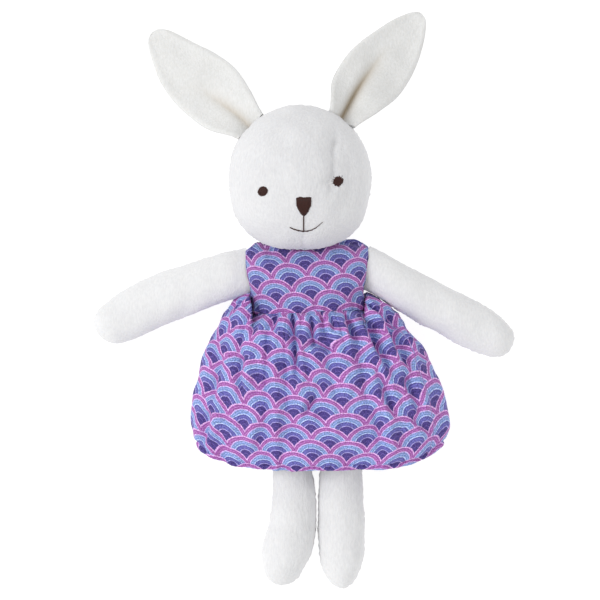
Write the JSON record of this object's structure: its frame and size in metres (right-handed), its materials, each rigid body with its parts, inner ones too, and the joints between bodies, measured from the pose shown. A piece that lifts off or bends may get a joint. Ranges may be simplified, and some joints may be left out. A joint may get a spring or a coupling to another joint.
{
  "type": "stuffed bunny rabbit",
  "caption": "White velour rabbit doll lying on its back, with long folded ears, straight stuffed arms and legs, and a sleeveless gathered dress in a scallop print.",
  "frame": {"origin": "on the floor under the waist seam of the dress, at the middle of the flat patch the doll lies on", "axes": "+Z towards the front of the doll, up from the floor; +Y from the feet to the ears; +X to the viewer's right, which is the doll's left"},
  "size_m": [0.2622, 0.3618, 0.0765],
  "materials": {
    "velour": "matte",
    "ear_velour": "matte",
    "seam_velour": "matte",
    "filling": "matte",
    "brown_thread": "matte",
    "printed_cotton": "matte",
    "closure_tape": "matte",
    "label_ribbon": "matte"
  },
  "bodies": {
    "torso": {"torso_front": "velour", "torso_back": "velour", "torso_filling": "filling", "care_label": "label_ribbon", "bodice_front": "printed_cotton", "bodice_back_left": "printed_cotton", "bodice_back_right": "printed_cotton", "hook_tape": "closure_tape", "loop_tape": "closure_tape", "skirt": "printed_cotton"},
    "neck": {"neck_join": "seam_velour"},
    "head": {"face_panel": "velour", "head_back_panel": "velour", "head_filling": "filling", "eye_left": "brown_thread", "eye_right": "brown_thread", "nose": "brown_thread", "mouth": "brown_thread"},
    "ear_left": {"ear_left_front": "ear_velour", "ear_left_back": "ear_velour"},
    "shoulder_left": {"shoulder_join_left": "seam_velour"},
    "arm_left": {"arm_left_front": "velour", "arm_left_back": "velour", "arm_left_filling": "filling"},
    "ear_right": {"ear_right_front": "ear_velour", "ear_right_back": "ear_velour"},
    "shoulder_right": {"shoulder_join_right": "seam_velour"},
    "arm_right": {"arm_right_front": "velour", "arm_right_back": "velour", "arm_right_filling": "filling"},
    "hips": {"hip_seam": "seam_velour"},
    "leg_left": {"leg_left_front": "velour", "leg_left_back": "velour", "leg_left_filling": "filling"},
    "leg_right": {"leg_right_front": "velour", "leg_right_back": "velour", "leg_right_filling": "filling"}
  },
  "joints": [
    {"name": "neck_tilt", "type": "hinge", "parent": "torso", "child": "neck", "pos_m": [-0.004, 0.0445, 0.02], "axis": [0, 0, 1], "range_deg": [-8, 8]},
    {"name": "head_nod", "type": "hinge", "parent": "neck", "child": "head", "pos_m": [-0.004, 0.0385, 0.034], "axis": [1, 0, 0], "range_deg": [0, 35]},
    {"name": "ear_left_fold", "type": "hinge", "parent": "head", "child": "ear_left", "pos_m": [-0.03887, 0.11487, 0.0375], "axis": [0.7071, 0.7071, 0], "range_deg": [0, 85]},
    {"name": "ear_right_fold", "type": "hinge", "parent": "head", "child": "ear_right", "pos_m": [0.02109, 0.11948, 0.0375], "axis": [0.807, -0.5906, 0], "range_deg": [0, 85]},
    {"name": "arm_left_raise", "type": "hinge", "parent": "torso", "child": "shoulder_left", "pos_m": [-0.0466, 0.0202, 0.022], "axis": [0, 0, -1], "range_deg": [-8, 40]},
    {"name": "arm_left_forward", "type": "hinge", "parent": "shoulder_left", "child": "arm_left", "pos_m": [-0.0466, 0.0202, 0.022], "axis": [-0.3602, 0.9329, 0], "range_deg": [0, 75]},
    {"name": "arm_right_raise", "type": "hinge", "parent": "torso", "child": "shoulder_right", "pos_m": [0.043, 0.0233, 0.022], "axis": [0, 0, 1], "range_deg": [-8, 40]},
    {"name": "arm_right_forward", "type": "hinge", "parent": "shoulder_right", "child": "arm_right", "pos_m": [0.043, 0.0233, 0.022], "axis": [-0.4855, -0.8742, 0], "range_deg": [0, 75]},
    {"name": "sit_fold", "type": "hinge", "parent": "torso", "child": "hips", "pos_m": [0.003, -0.048, 0.017], "axis": [-1, 0, 0], "range_deg": [0, 80], "deforming": ["skirt"]},
    {"name": "leg_left_spread", "type": "hinge", "parent": "hips", "child": "leg_left", "pos_m": [-0.0123, -0.048, 0.017], "axis": [0, 0, -1], "range_deg": [0, 14]},
    {"name": "leg_right_spread", "type": "hinge", "parent": "hips", "child": "leg_right", "pos_m": [0.0183, -0.048, 0.017], "axis": [0, 0, 1], "range_deg": [0, 14]}
  ]
}
